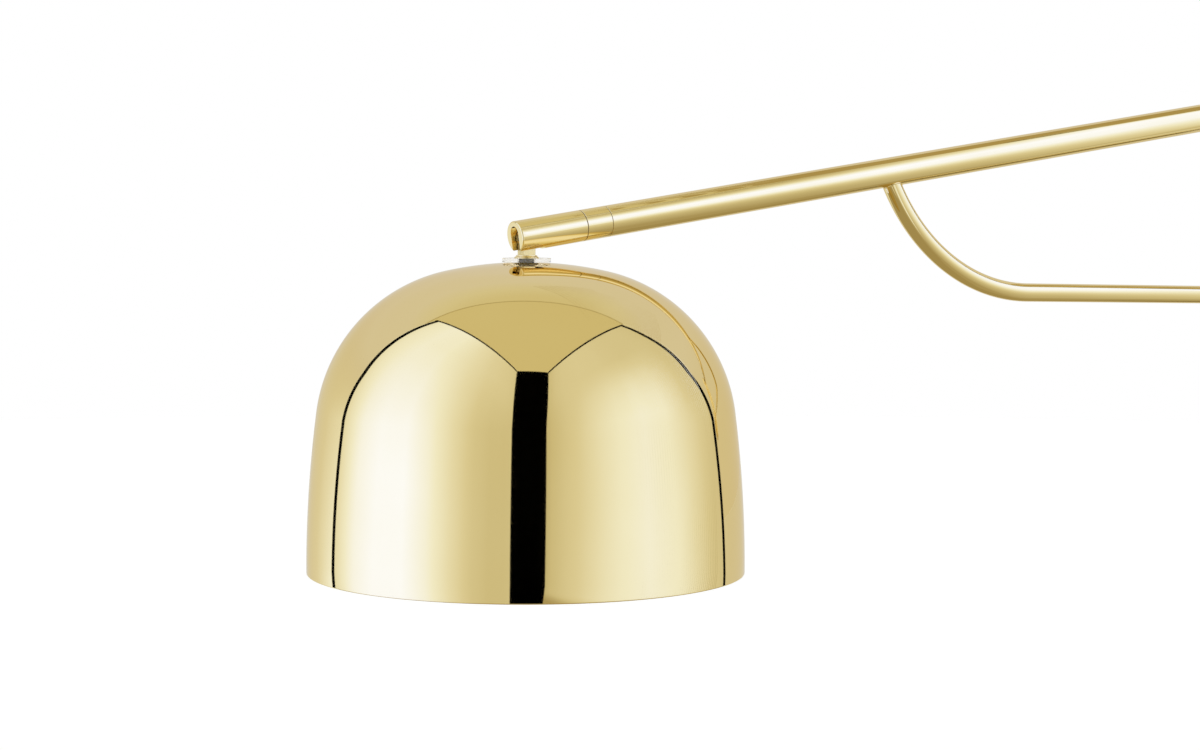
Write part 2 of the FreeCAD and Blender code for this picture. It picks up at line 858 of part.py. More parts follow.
def make_hinge_pin():
    """Shouldered screw across the fork: its head is sunk in the -X side and its tip ends blind in the other."""
    body = new_body("hinge_pin")
    shank = circle(sketch_on(body, "YZ_Plane", -pin_seat), -d.pin_drop, 0, d.pin_dia / 2)
    pad(body, shank, pin_seat + d.pin_blind)
    head = circle(sketch_on(body, "YZ_Plane", -pin_seat), -d.pin_drop, 0, d.pin_head_dia / 2)
    pad(body, head, d.pin_head, Reversed=True)
    key = hexagon(sketch_on(body, "YZ_Plane", -pin_seat - d.pin_head), d.hex_key, -d.pin_drop)
    cut(body, key, d.hex_key_depth, Reversed=True)
    return keep(on_head(body))


def make_hinge_washers():
    """Thin friction washers, one each side of the knuckle."""
    body = new_body("hinge_washers")
    gap = (d.slot_width - d.knuckle_thick) / 2
    inset = (gap - d.friction_washer) / 2
    for way in (1, -1):
        sketch = sketch_on(body, "YZ_Plane", way * (d.knuckle_thick / 2 + inset))
        circle(sketch, -d.pin_drop, 0, d.friction_washer_dia / 2)
        circle(sketch, -d.pin_drop, 0, d.pin_dia / 2)
        pad(body, sketch, d.friction_washer, Reversed=way < 0)
    return keep(on_head(body))


def make_swivel_screw():
    """Grub screw whose tip runs in the spindle's groove and keeps the fork on."""
    body = new_body("swivel_screw")
    outer = arm_radius - d.screw_inset
    tip = d.groove_dia / 2 + d.screw_inset
    screw = circle(sketch_on(body, "YZ_Plane", -outer), 0, -d.groove_place, d.grub_dia / 2)
    pad(body, screw, outer - tip)
    return keep(on_head(body))


# Knuckle and shade

def make_knuckle():
    body = new_body("knuckle")
    eye = d.eye_dia / 2
    side = d.knuckle_width / 2
    waist = root(eye * eye - side * side)
    flange_top = d.flange_thick - d.pin_to_washer
    foot = flange_top - d.flange_edge
    corners = [(-side, foot), (side, foot), (side, -waist), (-side, -waist)]
    neck = outline(sketch_on(body, "YZ_Plane"), corners, {2: (0, 0, "ccw")})
    pad(body, neck, d.knuckle_thick, Midplane=True)
    radius = d.flange_dia / 2
    low = -d.pin_to_washer
    flare = d.flange_thick - d.flange_edge
    profile = sketch_on(body, "XZ_Plane")
    outline(profile, [(0, low), (radius, low), (radius, low + d.flange_edge), (radius - flare, flange_top),
                      (0, flange_top)], {2: (radius, flange_top, "cw")})
    feature(body, "Revolution", profile, ReferenceAxis=(profile, ["V_Axis"]), Angle=360.0)
    cut(body, circle(sketch_on(body, "YZ_Plane"), 0, 0, d.pin_dia / 2 + d.running_gap))
    spigot_depth = d.spigot_length + d.spigot_gap
    spigot = circle(sketch_on(body, "XY_Plane", low), 0, 0, d.spigot_dia / 2)
    cut(body, spigot, spigot_depth, Reversed=True)
    wire = circle(sketch_on(body, "XZ_Plane"), 0, low + spigot_depth, d.wire_bore / 2)
    cut(body, wire, side + d.cut_over)
    return keep(on_pin(body))


def make_nipple():
    """Threaded tube screwed up into the knuckle; everything on the shade is clamped on it."""
    low = -d.pin_to_washer
    spigot = d.spigot_dia / 2
    barrel = d.nipple_dia / 2
    bore = d.nipple_bore / 2
    wire = d.wire_bore / 2
    step = low - d.nipple_step
    corners = [
        (wire, step),
        (wire, low + d.spigot_length),
        (spigot, low + d.spigot_length),
        (spigot, low),
        (barrel, low),
        (barrel, low - d.nipple_length),
        (bore, low - d.nipple_length),
        (bore, step),
    ]
    return keep(on_pin(turned("nipple", corners)))


crown = d.pin_to_washer + d.clear_washer
bore_radius = d.shade_hole / 2


def make_clear_washer():
    outer = d.clear_washer_dia / 2
    top = -d.pin_to_washer
    low = -crown
    edge = d.clear_washer_edge
    corners = [
        (bore_radius, low),
        (outer - edge, low),
        (outer, low + edge),
        (outer, top - edge),
        (outer - edge, top),
        (bore_radius, top),
    ]
    return keep(on_pin(turned("clear_washer", corners)))


def make_shade():
    """Spun dome. Its skin is two runs of tangent arcs, one sheet apart, about common centres."""
    at_shoulder = d.crown_turn
    at_wall = d.crown_turn + d.shoulder_turn
    at_rim = at_wall + d.wall_turn
    radii = [d.crown_radius, d.shoulder_radius, d.wall_radius]
    angles = [at_shoulder, at_wall, at_rim]
    centres = [(as_size(0.0), -d.crown_radius)]
    joints = []
    for number, (radius, angle) in enumerate(zip(radii, angles)):
        x, z = centres[number]
        joint = (x + radius * sine(angle), z + radius * cosine(angle))
        joints.append(joint)
        if number + 1 < len(radii):
            following = radii[number + 1]
            centres.append((joint[0] - following * sine(angle), joint[1] - following * cosine(angle)))
    sheet_gap = d.shade_sheet
    inner = [(x - sheet_gap * sine(a), z - sheet_gap * cosine(a)) for (x, z), a in zip(joints, angles)]
    outer_start = root(d.crown_radius * d.crown_radius - bore_radius * bore_radius) - d.crown_radius
    inner_radius = d.crown_radius - sheet_gap
    inner_start = root(inner_radius * inner_radius - bore_radius * bore_radius) - d.crown_radius
    corners = [(bore_radius, outer_start)] + joints + inner[::-1] + [(bore_radius, inner_start)]
    arcs = {}
    last = 2 * len(radii)
    for number, (x, z) in enumerate(centres):
        arcs[number] = (x, z, "cw")
        arcs[last - number] = (x, z, "ccw")
    body = turned("shade", corners, arcs)
    return keep(place(body, 0.0, pin_y, pin_z - crown))


under_crown = crown + d.shade_sheet + d.clamp_washer_fall
nut_top = under_crown + d.clamp_washer
holder_top = nut_top + d.nut_thick


def make_clamp_washer():
    outer = d.clamp_washer_dia / 2
    corners = [(bore_radius, -nut_top), (outer, -nut_top), (outer, -under_crown), (bore_radius, -under_crown)]
    return keep(on_pin(turned("clamp_washer", corners)))


def make_nipple_nut():
    body = new_body("nipple_nut")
    sketch = sketch_on(body, "XY_Plane", -holder_top)
    hexagon(sketch, d.nut_across)
    circle(sketch, 0, 0, d.nipple_dia / 2)
    pad(body, sketch, d.nut_thick)
    return keep(on_pin(body))


def make_holder_entry():
    """Threaded bush on the nipple; the cup is held about it."""
    hold = d.nipple_dia / 2
    neck = d.holder_neck_dia / 2
    top = -holder_top
    low = top - d.entry_length
    return keep(on_pin(turned("holder_entry", [(hold, low), (neck, low), (neck, top), (hold, top)])))


def make_holder_cup():
    """Lampholder cover: a round shoulder about the entry, and a straight skirt."""
    outer = d.holder_dia / 2
    neck = d.holder_neck_dia / 2
    wall = d.holder_wall
    top = -holder_top
    shoulder = top - (outer - neck)
    low = top - d.holder_length
    corners = [
        (neck, top),
        (outer, shoulder),
        (outer, low),
        (outer - wall, low),
        (outer - wall, shoulder),
        (neck, top - wall),
    ]
    arcs = {0: (neck, shoulder, "cw"), 4: (neck, shoulder, "ccw")}
    return keep(on_pin(turned("holder_cup", corners, arcs)))


holder_low = holder_top + d.holder_length
bulb_tip = d.insert_length - d.bulb_contact_depth - holder_low


def make_holder_skirt():
    """Ring that screws on the cup's open end and holds the insert in."""
    outer = d.holder_dia / 2
    inner = d.socket_dia / 2 + d.skirt_gap
    edge = d.skirt_edge
    low = -holder_low - d.skirt_length
    corners = [(inner, low), (outer - edge, low), (outer, low + edge), (outer, -holder_low), (inner, -holder_low)]
    return keep(on_pin(turned("holder_skirt", corners, {1: (outer - edge, low + edge, "ccw")})))


def make_holder_insert():
    """Ceramic insert with the lamp socket."""
    hole = d.insert_hole_dia / 2
    outer = d.insert_dia / 2
    socket = d.socket_dia / 2
    low = -holder_low
    top = low + d.insert_length
    floor = top - d.insert_floor
    corners = [(hole, top), (outer, top), (outer, low), (socket, low), (socket, floor), (hole, floor)]
    return keep(on_pin(turned("holder_insert", corners)))


def make_bulb_cap():
    """Screw cap, from its contact up in the socket down to the glass."""
    radius = d.bulb_cap_dia / 2
    contact = d.bulb_contact_dia / 2
    low = bulb_tip - d.bulb_cap_length
    shoulder = bulb_tip - d.bulb_cap_taper
    skin = d.bulb_skin
    corners = [
        (radius - skin, low),
        (radius, low),
        (radius, shoulder),
        (contact, bulb_tip),
        (0, bulb_tip),
        (0, bulb_tip - skin),
        (contact, bulb_tip - skin),
        (radius - skin, shoulder - skin),
    ]
    return keep(on_pin(turned("bulb_cap", corners)))


def make_bulb_glass():
    """Glass: a ball with a neck that sweeps up to the cap; the sweep touches the ball and the neck's side."""
    ball = d.bulb_dia / 2
    neck = d.bulb_cap_dia / 2 + d.bulb_neck_step
    cap_low = bulb_tip - d.bulb_cap_length
    foot = bulb_tip - d.bulb_length
    centre = foot + ball
    spread = ball + d.bulb_sweep
    side = neck + d.bulb_sweep
    rise = root(spread * spread - side * side)
    touch_x = ball * side / spread
    touch_z = centre + ball * rise / spread
    inner = ball - d.bulb_skin
    inner_x = inner * side / spread
    inner_z = centre + inner * rise / spread
    throat = neck - d.bulb_skin
    corners = [
        (0, foot),
        (touch_x, touch_z),
        (neck, centre + rise),
        (neck, cap_low),
        (throat, cap_low),
        (throat, centre + rise),
        (inner_x, inner_z),
        (0, foot + d.bulb_skin),
    ]
    arcs = {
        0: (0, centre, "ccw"),
        1: (side, centre + rise, "cw"),
        5: (side, centre + rise, "ccw"),
        6: (0, centre, "cw"),
    }
    return keep(on_pin(turned("bulb_glass", corners, arcs)))


make_wall_plate()
make_wall_housing()
make_housing_screws()
make_lug("upper_lug", d.lug_height)
make_lug("lower_lug", -d.lug_height)
make_lug_nuts()
boss_near = d.lug_height - d.boss_length / 2
boss_far = d.lug_height + d.boss_length / 2 + d.cap_gap
make_bush("upper_bush", boss_near, 0.0)
make_bush("lower_bush", -boss_near, 180.0)
make_terminal_block()
make_switch_body()
make_switch_nut()
make_switch_button()
make_post()
make_pivot("upper_pivot", d.post_half, 0.0)
make_pivot("lower_pivot", -d.post_half, 180.0)
make_cap("upper_cap", boss_far, 0.0)
make_cap("lower_cap", -boss_far, 180.0)
make_arm_tube()
make_brace()
make_arm_lead()
make_spindle()
make_ring()
make_fork()
make_hinge_pin()
make_hinge_washers()
make_swivel_screw()
make_knuckle()
make_nipple()
make_clear_washer()
make_shade()
make_clamp_washer()
make_nipple_nut()
make_holder_entry()
make_holder_cup()
make_holder_skirt()
make_holder_insert()
make_bulb_cap()
make_bulb_glass()

doc.recompute()
for thing in doc.Objects:
    if "Invalid" in thing.State or "Error" in thing.State:
        raise RuntimeError(f"{thing.Label} did not compute: {thing.State}")
for part in made_parts:
    if part.Shape.isNull() or not part.Shape.isValid():
        raise RuntimeError(f"{part.Label} has no valid shape")

os.makedirs("parts", exist_ok=True)
for part in made_parts:
    part.Shape.exportStep(f"parts/{part.Label}.step")
    print(part.Label, "solids", len(part.Shape.Solids), "volume", round(part.Shape.Volume, 1))
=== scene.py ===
"""Dresses the wall lamp: a spun brass dome on a braced arm, its finishes, a photo studio and the camera."""
import json
import math

import bmesh
import bpy
from mathutils import Matrix, Vector


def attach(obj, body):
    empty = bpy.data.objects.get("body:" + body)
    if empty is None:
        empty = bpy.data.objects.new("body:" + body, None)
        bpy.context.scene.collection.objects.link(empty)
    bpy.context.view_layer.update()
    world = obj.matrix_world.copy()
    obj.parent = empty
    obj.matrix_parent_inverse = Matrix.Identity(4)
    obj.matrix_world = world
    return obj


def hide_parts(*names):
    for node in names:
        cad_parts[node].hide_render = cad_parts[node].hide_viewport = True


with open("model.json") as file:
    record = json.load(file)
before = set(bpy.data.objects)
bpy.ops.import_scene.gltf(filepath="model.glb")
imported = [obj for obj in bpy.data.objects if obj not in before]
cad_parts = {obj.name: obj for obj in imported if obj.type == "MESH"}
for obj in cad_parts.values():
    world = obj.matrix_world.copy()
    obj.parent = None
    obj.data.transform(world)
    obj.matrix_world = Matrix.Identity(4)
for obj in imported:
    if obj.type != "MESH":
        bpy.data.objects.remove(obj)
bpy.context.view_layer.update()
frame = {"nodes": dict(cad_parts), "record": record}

# Sizes, in metres and degrees
MM = 0.001
UP = Vector((0.0, 0.0, 1.0))
# the upright post, and how far out along a rod its bead with the post is worked out
POST = Vector((0.0, -45.0 * MM, 0.0))
POST_RADIUS = 8.5 * MM
POST_AWAY = 50.0 * MM
# the arm's tube from the post's axis to the hinge, its seams by their way back from the hinge, and where its
# end piece is faced
ARM_HEIGHT = 96.0 * MM
ARM_SLOPE = 8.25
ARM_LENGTH = 957.0 * MM
ARM_RADIUS = 8.5 * MM
ARM_BORE = 7.0 * MM
SEAMS = {"far": 49.8 * MM, "near": 33.9 * MM}
SEAM_EDGE = 0.25 * MM
# the dark ring sunk in each seam's gap, its half width and its inner and outer radius: its dark colour is
# painted shade of the gap
SEAM_SHADE_HALF = 0.3 * MM
SEAM_SHADE_LOW, SEAM_SHADE_HIGH = ARM_RADIUS - 0.6 * MM, ARM_RADIUS - 0.1 * MM
FACE_AT = ARM_LENGTH + 7.6 * MM
# the brace rod: how far under the post's middle it starts, its rise, its straight run, its bend, and the turn
# at which the bend meets the tube
BRACE_RADIUS = 5.5 * MM
BRACE_LOW = 93.5 * MM
BRACE_RISE = 1.5
BRACE_RUN = 600.0 * MM
BRACE_BEND = 120.0 * MM
BRACE_TURN = 61.5
BRACE_MEETS = 60.2
BEAD = 0.5 * MM
# the hinge pin and the shade: its outline is three arcs, each a radius and a turn, from the crown down
PIN_DROP = 1.5 * MM
CROWN_DROP = 12.9 * MM
SHADE_HOLE = 4.55 * MM
SHADE_SHEET = 1.2 * MM
SHADE_ARCS = ((200.0 * MM, 12.5), (88.5 * MM, 70.0), (656.0 * MM, 7.5))
# the nipple, by heights from the pin: its thread, the spigot on its top, and its bore, narrow for the wires at
# the top and wider from the step down
NIPPLE = {"crest": 4.4 * MM, "root": 3.9 * MM, "pitch": 1.0 * MM}
NIPPLE_TOP = -10.7 * MM
NIPPLE_STEP = -12.7 * MM
NIPPLE_LOW = -34.7 * MM
SPIGOT_TOP = -6.7 * MM
SPIGOT, NIPPLE_BORE, WIRE_BORE = 2.5 * MM, 3.0 * MM, 1.5 * MM
# the bulb's cap, by heights from the pin: its thread runs from the collar up to the shoulder, and its nose is
# given as radius and depth under the tip
CAP = {"crest": 13.2 * MM, "root": 12.35 * MM, "pitch": 3.63 * MM}
CAP_TIP = -47.97 * MM
CAP_SHOULDER = CAP_TIP - 4.5 * MM
CAP_COLLAR = CAP_TIP - 22.0 * MM
CAP_LOW = CAP_TIP - 26.0 * MM
CAP_NOSE = ((10.2 * MM, 1.6 * MM), (4.8 * MM, 1.0 * MM), (4.4 * MM, 0.25 * MM), (3.6 * MM, 0.0),
            (3.2 * MM, 1.2 * MM), (9.6 * MM, 2.8 * MM))
CAP_INSIDE = 11.7 * MM
CAP_SHEET = 1.0 * MM
COLLAR_FALL = 0.6 * MM
# how finely round forms are cut, in steps for a whole turn, and an arc's steps per degree and fewest steps
ROUND_STEPS = 96
ROD_STEPS = 64
SHADE_STEPS = 240
THREAD_STEPS = 48
BEAD_STEPS = 16
RIM_STEPS = 8
OUTSIDE, INSIDE = (1.1, 10), (0.8, 8)
WELD = 1e-6
THREAD_WELD = 2e-6
THREAD_CUT = 1e-7
RING_MISS = 1e-5
SHARP = 30.0

arm_way = Vector((0.0, -math.cos(math.radians(ARM_SLOPE)), -math.sin(math.radians(ARM_SLOPE))))
arm_start = POST + UP * ARM_HEIGHT
head = arm_start + arm_way * ARM_LENGTH
pin = head + Vector((0.0, PIN_DROP * -arm_way.z, PIN_DROP * arm_way.y))
shade_axis = Vector((0.0, pin.y, 0.0))
crown = pin - UP * CROWN_DROP
brace_way = Vector((0.0, -math.cos(math.radians(BRACE_RISE)), math.sin(math.radians(BRACE_RISE))))
brace_lift = Vector((0.0, brace_way.z, -brace_way.y))
brace_start = POST - UP * BRACE_LOW


# Making pieces
def piece(name, mesh, body, finish, replaced=()):
    """Turns a bmesh into a piece that rides on a body and takes a finish."""
    data = bpy.data.meshes.new(name)
    mesh.to_mesh(data)
    mesh.free()
    for face in data.polygons:
        face.use_smooth = True
    data.set_sharp_from_angle(angle=math.radians(SHARP))
    made = bpy.data.objects.new(name, data)
    bpy.context.scene.collection.objects.link(made)
    data.materials.append(finish)
    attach(made, body)
    if replaced:
        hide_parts(*replaced)


def closed_up(mesh):
    """Merges doubles and turns every face outwards."""
    bmesh.ops.remove_doubles(mesh, verts=mesh.verts, dist=WELD)
    bmesh.ops.recalc_face_normals(mesh, faces=mesh.faces)
    return mesh


def stand(foot, way):
    """The move that stands an upright piece on a foot, along a way."""
    return Matrix.Translation(foot) @ way.to_track_quat("Z", "Y").to_matrix().to_4x4()


def arc_on(mesh, vert, centre, degrees, steps):
    """Carries a profile's last vertex round a centre in the YZ plane and returns the new last vertex."""
    result = bmesh.ops.spin(mesh, geom=[vert], cent=centre, axis=(1, 0, 0), angle=math.radians(degrees),
                            steps=steps, use_merge=False, use_duplicate=False)
    return result["geom_last"][0]


def arc_steps(degrees, fineness):
    rate, fewest = fineness
    return max(fewest, int(degrees * rate))


def line_on(mesh, vert, step):
    """Draws a profile's next straight run and returns its far vertex."""
    far = mesh.verts.new(vert.co + Vector(step))
    mesh.edges.new((vert, far))
    return far


def outline(mesh, points):
    """Draws a line through (radius, height) points and returns its vertices."""
    verts = [mesh.verts.new((points[0][0], 0.0, points[0][1]))]
    for (r0, h0), (r1, h1) in zip(points, points[1:]):
        verts.append(line_on(mesh, verts[-1], (r1 - r0, 0.0, h1 - h0)))
    return verts


def turn_round(mesh, centre, steps):
    """Spins the whole profile once round an upright axis and closes it."""
    bmesh.ops.spin(mesh, geom=mesh.verts[:] + mesh.edges[:], cent=centre, axis=UP, angle=math.tau,
                   steps=steps, use_merge=True, use_duplicate=False)
    return closed_up(mesh)


def turned(points, foot, way):
    """A turned piece: (radius, height) points spun round the line from foot along way."""
    mesh = bmesh.new()
    outline(mesh, points)
    turn_round(mesh, (0, 0, 0), ROUND_STEPS)
    bmesh.ops.transform(mesh, matrix=stand(foot, way), verts=mesh.verts)
    return mesh


def outward(slope):
    """The way out of the shade where its outline slopes this much."""
    return Vector((0.0, math.sin(math.radians(slope)), math.cos(math.radians(slope))))


def spun_shade():
    """The dome: three outer arcs from the hole down, a rounded rim, and the same arcs back up inside."""
    mesh = bmesh.new()
    crown_radius = SHADE_ARCS[0][0]
    hole = math.degrees(math.asin(SHADE_HOLE / crown_radius))
    centre = crown - UP * crown_radius
    last = mesh.verts.new(centre + outward(hole) * crown_radius)
    slope = 0.0
    walk = []
    for radius, degrees in SHADE_ARCS:
        if walk:
            centre = last.co - outward(slope) * radius
        turn = degrees - (0.0 if walk else hole)
        walk.append((centre.copy(), turn, arc_steps(degrees, INSIDE)))
        last = arc_on(mesh, last, centre, -turn, arc_steps(degrees, OUTSIDE))
        slope += degrees
    last = arc_on(mesh, last, last.co - Vector((0.0, SHADE_SHEET / 2, 0.0)), -180.0, RIM_STEPS)
    for centre, turn, steps in reversed(walk):
        last = arc_on(mesh, last, centre, turn, steps)
    return turn_round(mesh, crown, SHADE_STEPS)


def long_tube():
    """The arm's tube with its bore, from the post to the outer seam."""
    far = ARM_LENGTH - SEAMS["far"]
    points = [(ARM_BORE, 0.0), (ARM_RADIUS, 0.0), (ARM_RADIUS, far - SEAM_EDGE),
              (ARM_RADIUS - SEAM_EDGE, far), (ARM_BORE, far)]
    return turned(points + points[:1], arm_start, arm_way)


def bent_brace():
    """The brace rod: a straight run, then a bend up into the arm."""
    mesh = bmesh.new()
    ring = bmesh.ops.create_circle(mesh, cap_ends=False, segments=ROD_STEPS, radius=BRACE_RADIUS)["verts"]
    bmesh.ops.transform(mesh, matrix=stand(brace_start, brace_way), verts=ring)
    grown = bmesh.ops.extrude_edge_only(mesh, edges=mesh.edges[:])["geom"]
    ends = [vert for vert in grown if isinstance(vert, bmesh.types.BMVert)]
    bmesh.ops.translate(mesh, vec=brace_way * BRACE_RUN, verts=ends)
    last = ends + [edge for edge in mesh.edges if all(vert in ends for vert in edge.verts)]
    centre = brace_start + brace_way * BRACE_RUN + brace_lift * BRACE_BEND
    bmesh.ops.spin(mesh, geom=last, cent=centre, axis=(1, 0, 0), angle=-math.radians(BRACE_TURN),
                   steps=ROD_STEPS, use_merge=False, use_duplicate=False)
    bmesh.ops.holes_fill(mesh, edges=[edge for edge in mesh.edges if edge.is_boundary])
    return closed_up(mesh)


def threaded(crest, root, pitch, low, high, rounded):
    """A helical thread between two heights, cut level at both ends, with both rims open."""
    mesh = bmesh.new()
    steps = 8 if rounded else 2
    last = mesh.verts.new((root, 0.0, low - pitch))
    reach = root
    for step in range(1, steps + 1):
        share = step / steps
        wave = 0.5 - 0.5 * math.cos(math.tau * share) if rounded else 1.0 - abs(2.0 * share - 1.0)
        now = root + (crest - root) * wave
        last = line_on(mesh, last, (now - reach, 0.0, pitch / steps))
        reach = now
    turns = math.ceil((high - low) / pitch) + 2
    bmesh.ops.spin(mesh, geom=mesh.verts[:] + mesh.edges[:], cent=(0, 0, 0), axis=UP,
                   dvec=UP * (pitch / THREAD_STEPS), angle=math.tau * turns, steps=THREAD_STEPS * turns,
                   use_merge=False, use_duplicate=False)
    bmesh.ops.remove_doubles(mesh, verts=mesh.verts, dist=THREAD_WELD)
    for height, way in ((low, -UP), (high, UP)):
        bmesh.ops.bisect_plane(mesh, geom=mesh.verts[:] + mesh.edges[:] + mesh.faces[:],
                               plane_co=UP * height, plane_no=way, dist=THREAD_CUT, clear_outer=True)
    return mesh


def rim_at(mesh, height):
    """The open edges that lie at a height."""
    return [edge for edge in mesh.edges
            if edge.is_boundary and all(abs(vert.co.z - height) < WELD for vert in edge.verts)]


def lathe_on(mesh, points):
    """Spins an open line of (radius, height) points into the same mesh."""
    verts = outline(mesh, points)
    edges = dict.fromkeys(edge for vert in verts for edge in vert.link_edges)
    bmesh.ops.spin(mesh, geom=verts + list(edges), cent=(0, 0, 0), axis=UP, angle=math.tau,
                   steps=ROUND_STEPS, use_merge=True, use_duplicate=False)


def joined_thread(sizes, low, high, points, rounded):
    """A thread whose two rims run on into a turned line of points, from the upper rim round to the lower."""
    mesh = threaded(low=low, high=high, rounded=rounded, **sizes)
    rims = rim_at(mesh, high), rim_at(mesh, low)
    lathe_on(mesh, points)
    for rim, (radius, height) in zip(rims, (points[0], points[-1])):
        known = set(rim)
        ring = [edge for edge in rim_at(mesh, height) if edge not in known
                and all(abs(vert.co.xy.length - radius) < RING_MISS for vert in edge.verts)]
        bmesh.ops.bridge_loops(mesh, edges=rim + ring)
    bmesh.ops.translate(mesh, vec=pin, verts=mesh.verts)
    return closed_up(mesh)


def bead(foot, way, radius, other_foot, other_way, other_radius):
    """A brazed bead round the place where a rod that comes along way meets another rod."""
    mesh = bmesh.new()
    ring = bmesh.ops.create_circle(mesh, cap_ends=False, segments=BEAD_STEPS, radius=BEAD)["verts"]
    bmesh.ops.rotate(mesh, verts=ring, cent=(0, 0, 0), matrix=Matrix.Rotation(math.pi / 2, 3, "X"))
    bmesh.ops.translate(mesh, verts=ring, vec=(radius, 0, 0))
    turn_round(mesh, (0, 0, 0), ROUND_STEPS)
    place = stand(foot, way)
    across = way - other_way * way.dot(other_way)
    for vert in mesh.verts:
        side = Vector((vert.co.x, vert.co.y, 0.0)).normalized() * radius
        gap = place @ side - other_foot
        gap -= other_way * gap.dot(other_way)
        half, square = gap.dot(across), across.length_squared
        root = max(0.0, half * half - square * (gap.length_squared - other_radius ** 2))
        vert.co.z += (-half - math.sqrt(root)) / square
    bmesh.ops.transform(mesh, matrix=place, verts=mesh.verts)
    return mesh


# Finishes
EVEN = (1, 1, 1)
WORN_ROUGH = 1.2
SMUDGE = 0.3
FACE_EDGE = 0.05 * MM


class Finish:
    """One finish: a material, its shader and the nodes that feed it."""

    def __init__(self, name, metallic, sockets):
        self.made = bpy.data.materials.new(name)
        self.made.use_nodes = True
        self.tree = self.made.node_tree
        self.shader = self.tree.nodes["Principled BSDF"]
        self.shader.inputs["Metallic"].default_value = metallic
        for socket, value in sockets.items():
            self.shader.inputs[socket.replace("_", " ")].default_value = value
        self.coords = self.tree.nodes.new("ShaderNodeTexCoord").outputs["Object"]

    def feed(self, socket, value):
        """Links a socket to an output, or sets it to a plain value."""
        if isinstance(value, bpy.types.NodeSocket):
            self.tree.links.new(value, socket)
        else:
            socket.default_value = value

    def node(self, kind, settings=None, **inputs):
        """A new node with its settings, and its inputs by name."""
        made = self.tree.nodes.new("ShaderNode" + kind)
        for key, value in (settings or {}).items():
            setattr(made, key, value)
        for key, value in inputs.items():
            self.feed(made.inputs[key.replace("_", " ")], value)
        return made

    def pair(self, kind, operation, first, second):
        """A node that works out one value from two inputs of the same name."""
        made = self.node(kind, {"operation": operation})
        self.feed(made.inputs[0], first)
        self.feed(made.inputs[1], second)
        return made.outputs[0] if kind == "Math" else made.outputs["Value"]

    def noise(self, scale, detail, stretch=EVEN):
        spread = self.node("Mapping", Vector=self.coords, Scale=stretch).outputs["Vector"]
        return self.node("TexNoise", Vector=spread, Scale=scale, Detail=detail).outputs["Fac"]

    def between(self, fac, low, high, low_at=0.3, high_at=0.7):
        """Spreads a grey pattern between two plain values."""
        made = self.node("MapRange", Value=fac, From_Min=low_at, From_Max=high_at, To_Min=low, To_Max=high)
        return made.outputs["Result"]

    def mixed(self, fac, first, second, kind="RGBA"):
        """Mixes two colours, or two values, by a share."""
        made = self.node("Mix", {"data_type": kind})
        fits = [socket for socket in made.inputs if socket.enabled]
        for socket, value in zip(fits, (fac, first, second)):
            self.feed(socket, value)
        return next(socket for socket in made.outputs if socket.enabled)

    def edges(self, radius):
        """1 along edges and 0 on open faces."""
        soft = self.node("Bevel", {"samples": 4}, Radius=radius).outputs["Normal"]
        plain = self.tree.nodes.new("ShaderNodeNewGeometry").outputs["Normal"]
        return self.between(self.pair("VectorMath", "DOT_PRODUCT", soft, plain), 1.0, 0.0, 0.88, 0.98)


def surface(name, dark, light, rough, metallic, patches, grain, depth, worn=None, specks=None, faced_sheen=None,
            **sockets):
    """A finish with clouded colour, grain and smudges in its roughness, a bump, worn edges and maybe specks.

    Patches is the clouds' scale, and the grain has a scale and a stretch. Worn edges have a colour and a width,
    specks a colour, a scale and a size. An end face (way, place, colour, roughness) is a turned face beyond a
    place along a way; its colour is a painted sheen, standing in for the light that the face catches.
    """
    finish = Finish(name, metallic, sockets)
    cloud = finish.noise(patches, 5.0)
    tint = finish.mixed(finish.between(cloud, 0.0, 1.0), (*dark, 1.0), (*light, 1.0))
    if specks:
        colour, scale, size = specks
        spots = finish.node("TexVoronoi", Vector=finish.coords, Scale=scale).outputs["Distance"]
        tint = finish.mixed(finish.between(spots, 1.0, 0.0, size * 0.6, size), tint, (*colour, 1.0))
    scale, stretch = grain
    streaks = finish.noise(scale, 4.0, stretch)
    low, high = rough
    level = finish.between(streaks, low, low + (high - low) * (1.0 - SMUDGE))
    smudges = finish.noise(patches * 0.7 + 3.0, 6.0)
    haze = finish.between(smudges, 0.0, (high - low) * SMUDGE, 0.45, 0.75)
    dull = finish.pair("Math", "ADD", level, haze)
    if worn:
        colour, width = worn
        share = finish.edges(width)
        tint = finish.mixed(share, tint, (*colour, 1.0))
        dull = finish.mixed(share, dull, high * WORN_ROUGH, "FLOAT")
    # the end face: its colour is painted sheen, the light that the face catches; its roughness is the face's
    # own
    if faced_sheen:
        way, place, colour, face_rough = faced_sheen
        beyond = finish.pair("VectorMath", "DOT_PRODUCT", finish.coords, way)
        share = finish.between(beyond, 0.0, 1.0, place - FACE_EDGE, place + FACE_EDGE)
        tint = finish.mixed(share, tint, (*colour, 1.0))
        dull = finish.mixed(share, dull, face_rough, "FLOAT")
    bump = finish.node("Bump", Height=streaks, Distance=depth).outputs["Normal"]
    for socket, value in (("Base Color", tint), ("Roughness", dull), ("Normal", bump)):
        finish.feed(finish.shader.inputs[socket], value)
    return finish.made


def brass(name, grain, faced_sheen=None):
    """Polished brass with a fine grain."""
    return surface(name, (0.868, 0.693, 0.312), (0.892, 0.724, 0.348), (0.022, 0.052), 1.0, 9.0, grain, 6e-7,
                   ((0.9, 0.75, 0.41), 0.25 * MM), faced_sheen=faced_sheen, Specular_Tint=(0.95, 0.89, 0.75, 1.0))


